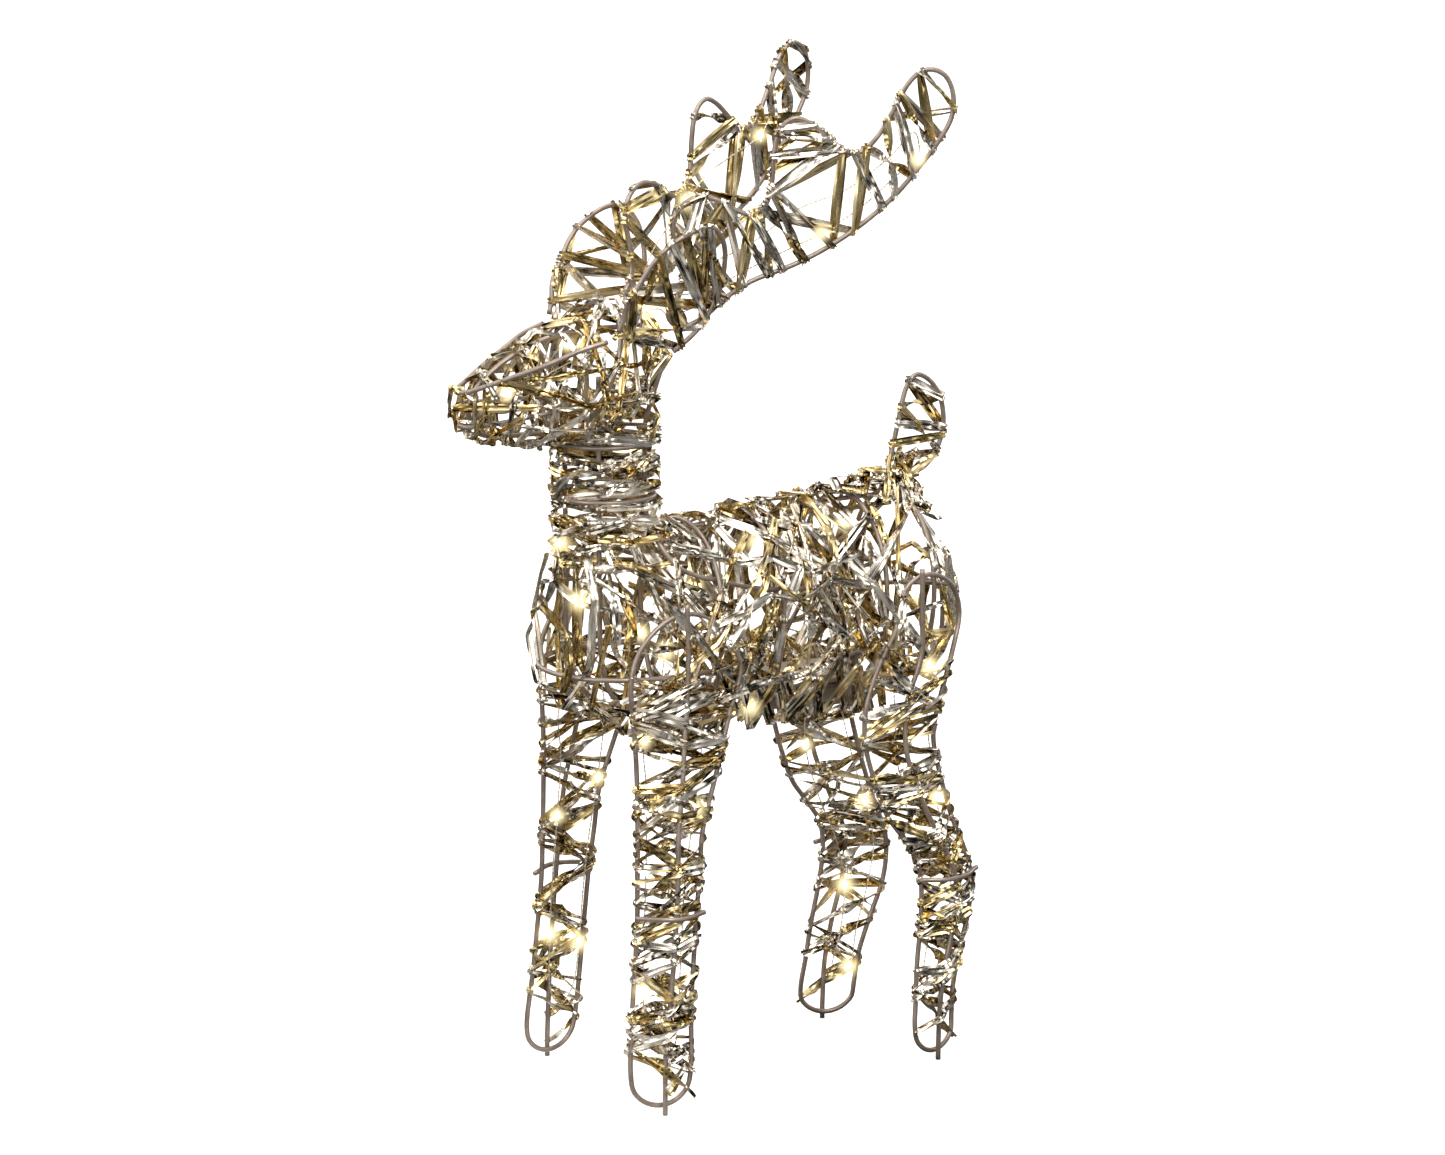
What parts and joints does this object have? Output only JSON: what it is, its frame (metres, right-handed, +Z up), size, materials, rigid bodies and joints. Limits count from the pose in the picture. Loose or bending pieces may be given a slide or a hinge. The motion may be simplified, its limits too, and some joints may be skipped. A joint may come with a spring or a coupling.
{
  "type": "light up yard reindeer",
  "caption": "Standing yard reindeer of welded round wire wrapped in metallised tape, with an LED string and a battery case under the belly.",
  "frame": {"origin": "on the ground, under the middle of the overall box", "axes": "+Z up, -Y towards the deer's nose, +X towards the deer's left side"},
  "size_m": [0.1636, 0.3306, 0.5996],
  "materials": {
    "painted_steel_wire": "satin taupe paint",
    "metallised_tape": "mirror-like champagne silver metallised film",
    "led_string_clear": "clear resin beads on fine silvery wire, warm white light",
    "case_plastic": "moulded, fine texture",
    "cell_jacket": "printed film jacket, plain",
    "nickel_plate": "nickel plated steel",
    "circuit_board": "solder mask",
    "switch_knob": "moulded"
  },
  "bodies": {
    "deer": {"antler_wire_left": "painted_steel_wire", "antler_wire_right": "painted_steel_wire", "battery_case": "case_plastic", "battery_cell_1": "cell_jacket", "battery_cell_2": "cell_jacket", "battery_cell_3": "cell_jacket", "belly_rail_left": "painted_steel_wire", "belly_rail_right": "painted_steel_wire", "body_hoop_front": "painted_steel_wire", "body_hoop_middle": "painted_steel_wire", "body_hoop_rear": "painted_steel_wire", "chest_ring": "painted_steel_wire", "contact_plate_front": "nickel_plate", "contact_plate_rear": "nickel_plate", "control_board": "circuit_board", "ear_wire_left": "painted_steel_wire", "ear_wire_right": "painted_steel_wire", "flank_rail_left": "painted_steel_wire", "flank_rail_right": "painted_steel_wire", "front_left_knee_brace": "painted_steel_wire", "front_left_leg_loop": "painted_steel_wire", "front_left_leg_spine": "painted_steel_wire", "front_right_knee_brace": "painted_steel_wire", "front_right_leg_loop": "painted_steel_wire", "front_right_leg_spine": "painted_steel_wire", "head_hoop": "painted_steel_wire", "jaw_wire": "painted_steel_wire", "led_string": "led_string_clear", "lid_hinge_pin": "nickel_plate", "muzzle_wire": "painted_steel_wire", "neck_ring_lower": "painted_steel_wire", "neck_ring_upper": "painted_steel_wire", "nose_bridge_wire": "painted_steel_wire", "rear_left_hock_brace": "painted_steel_wire", "rear_left_leg_loop": "painted_steel_wire", "rear_left_leg_spine": "painted_steel_wire", "rear_right_hock_brace": "painted_steel_wire", "rear_right_leg_loop": "painted_steel_wire", "rear_right_leg_spine": "painted_steel_wire", "rump_hoop": "painted_steel_wire", "skull_arch": "painted_steel_wire", "tail_wire": "painted_steel_wire", "tape_body": "metallised_tape", "tape_chest": "metallised_tape", "tape_front_left_leg": "metallised_tape", "tape_front_right_leg": "metallised_tape", "tape_head": "metallised_tape", "tape_left_antler": "metallised_tape", "tape_left_ear": "metallised_tape", "tape_neck": "metallised_tape", "tape_rear_left_leg": "metallised_tape", "tape_rear_right_leg": "metallised_tape", "tape_right_antler": "metallised_tape", "tape_right_ear": "metallised_tape", "tape_tail": "metallised_tape", "topline_wire": "painted_steel_wire"},
    "lid": {"battery_lid": "case_plastic"},
    "switch": {"mode_switch": "switch_knob"}
  },
  "joints": [
    {"name": "battery_lid_hinge", "type": "hinge", "parent": "deer", "child": "lid", "pos_m": [-0.0226, 0.06664, 0.2176], "axis": [0, 1, 0], "range_deg": [0, 110]},
    {"name": "mode_switch_slide", "type": "slide", "parent": "deer", "child": "switch", "axis": [1, 0, 0], "range_m": [-0.003, 0.003]}
  ]
}
